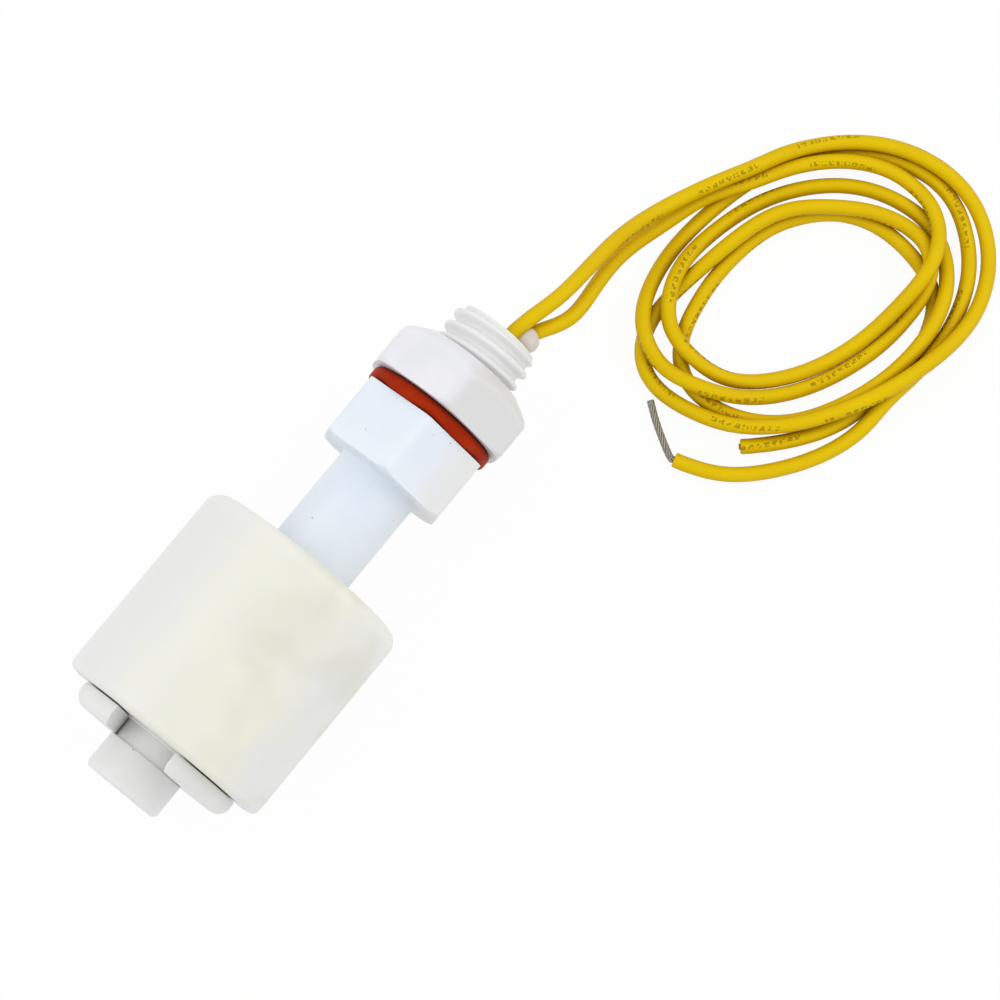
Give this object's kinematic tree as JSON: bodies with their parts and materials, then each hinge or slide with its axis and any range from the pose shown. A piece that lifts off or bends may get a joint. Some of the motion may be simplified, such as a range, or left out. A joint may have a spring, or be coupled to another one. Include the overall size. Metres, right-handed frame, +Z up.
{
  "type": "float switch",
  "caption": "Small vertical float switch: plastic stem with hexagonal flange, gasket and lock nut, a sliding magnetic float held by a clip, and loose wire leads.",
  "frame": {"origin": "middle of the switch's footprint on the table it lies on, resin bead included, without its loose wires", "axes": "+X along the stem towards the thread and the wires, +Z up from the table"},
  "size_m": [0.103, 0.0477, 0.0233],
  "materials": {
    "stem_plastic": "satin natural polypropylene, bluish white",
    "clip_plastic": "satin white polypropylene",
    "nut_plastic": "satin white polypropylene",
    "float_plastic": "satin cream polypropylene, slightly see-through",
    "gasket_rubber": "red-brown silicone, matt",
    "magnet_ferrite": "dark grey sintered ferrite",
    "capsule_glass": "clear greenish glass",
    "reed_alloy": "nickel iron, faintly golden",
    "copper_core": "bright stranded copper",
    "solder_tin": "dull solder",
    "sleeve_plastic": "black shrink sleeve",
    "resin_potting": "beige casting resin, half clear",
    "wire_yellow": "yellow wire insulation, satin",
    "tinned_core": "dull tinned copper strands"
  },
  "bodies": {
    "stem": {"stem_body": "stem_plastic", "retaining_clip": "clip_plastic", "lock_nut": "nut_plastic", "gasket": "gasket_rubber", "reed_glass": "capsule_glass", "reed_lead_upper": "reed_alloy", "reed_lead_lower": "reed_alloy", "bare_core_a": "copper_core", "bare_core_b": "copper_core", "solder_upper": "solder_tin", "solder_lower": "solder_tin", "shrink_sleeve": "sleeve_plastic", "wire_a_inside": "wire_yellow", "wire_b_inside": "wire_yellow", "resin_fill": "resin_potting", "exit_bead": "resin_potting", "wire_a_lead": "wire_yellow", "wire_b_lead": "wire_yellow", "wire_coil": "wire_yellow", "wire_a_tail": "wire_yellow", "wire_b_tail": "wire_yellow", "tinned_end": "tinned_core"},
    "float": {"float_shell": "float_plastic", "float_cap": "float_plastic", "ring_magnet": "magnet_ferrite"},
    "blade_upper": {"reed_blade_upper": "reed_alloy"},
    "blade_lower": {"reed_blade_lower": "reed_alloy"}
  },
  "joints": [
    {"name": "float_slide", "type": "slide", "parent": "stem", "child": "float", "axis": [1, 0, 0], "range_m": [0, 0.0108]},
    {"name": "upper_blade_flex", "type": "hinge", "parent": "stem", "child": "blade_upper", "pos_m": [-0.00315, -0.00053, 0.0124], "axis": [0, -1, 0], "range_deg": [0, 1.1]},
    {"name": "lower_blade_flex", "type": "hinge", "parent": "stem", "child": "blade_lower", "pos_m": [-0.01315, -0.00053, 0.0124], "axis": [0, -1, 0], "range_deg": [0, 1.1]}
  ],
  "couplings": [
    {"joint": "upper_blade_flex", "follows": "float_slide", "rad_per_m": 1.77},
    {"joint": "lower_blade_flex", "follows": "float_slide", "rad_per_m": 1.77}
  ]
}
